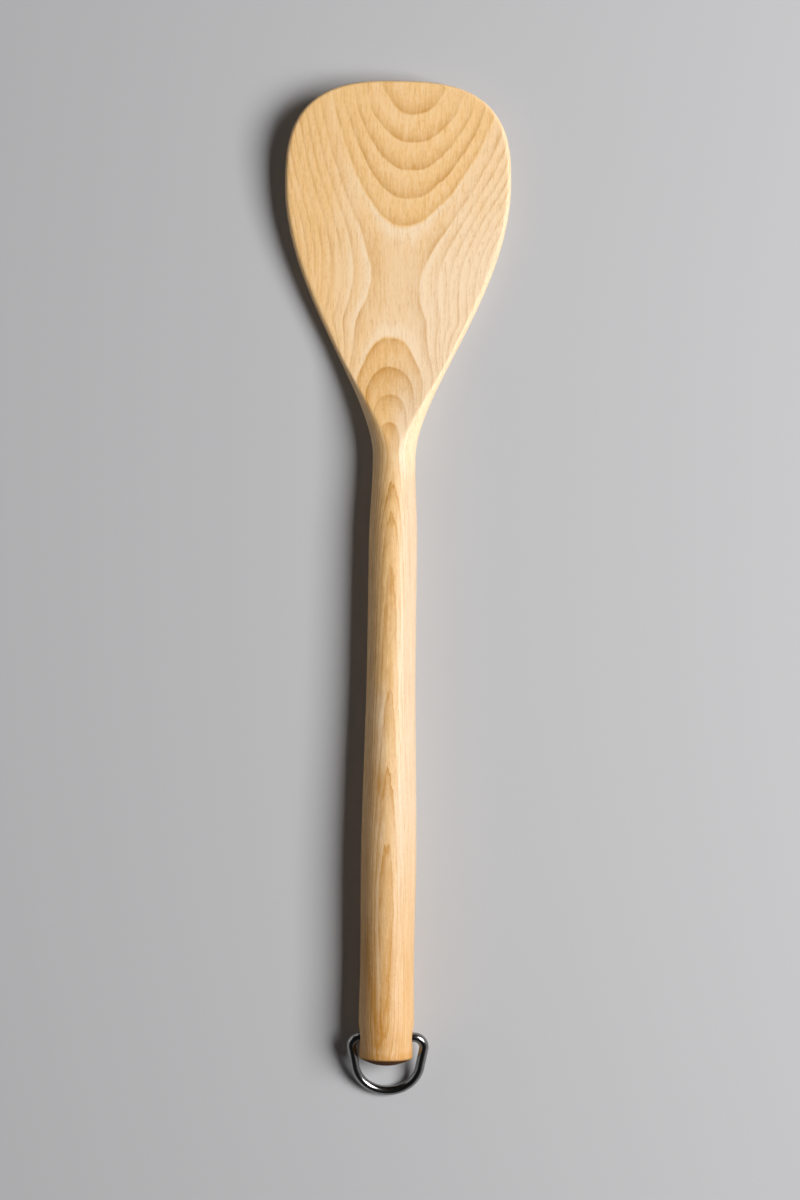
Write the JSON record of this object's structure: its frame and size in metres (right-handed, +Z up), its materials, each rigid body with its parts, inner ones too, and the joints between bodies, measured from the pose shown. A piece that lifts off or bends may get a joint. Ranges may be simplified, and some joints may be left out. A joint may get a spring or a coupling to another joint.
{
  "type": "spatula",
  "caption": "One-piece wooden spatula with a flared, scooped blade, a round tapering handle and a swinging wire hanging ring through its end.",
  "frame": {"origin": "On the table that the spatula lies on, below the middle of its bounding box, which includes the ring lying straight out behind the handle.", "axes": "+Y from the ring towards the blade's tip, +Z up out of the blade's scooped top face, +X to the right seen from above with the tip away."},
  "size_m": [0.072, 0.3236, 0.0176],
  "materials": {
    "wood": "oiled, satin",
    "steel": "polished steel wire"
  },
  "bodies": {
    "spatula": {"wooden_body": "wood"},
    "ring": {"hanging_ring": "steel"}
  },
  "joints": [
    {"name": "ring_swing", "type": "hinge", "parent": "spatula", "child": "ring", "pos_m": [0, -0.14205, 0.0088], "axis": [1, 0, 0], "range_deg": [-168.7, 125.2]}
  ]
}
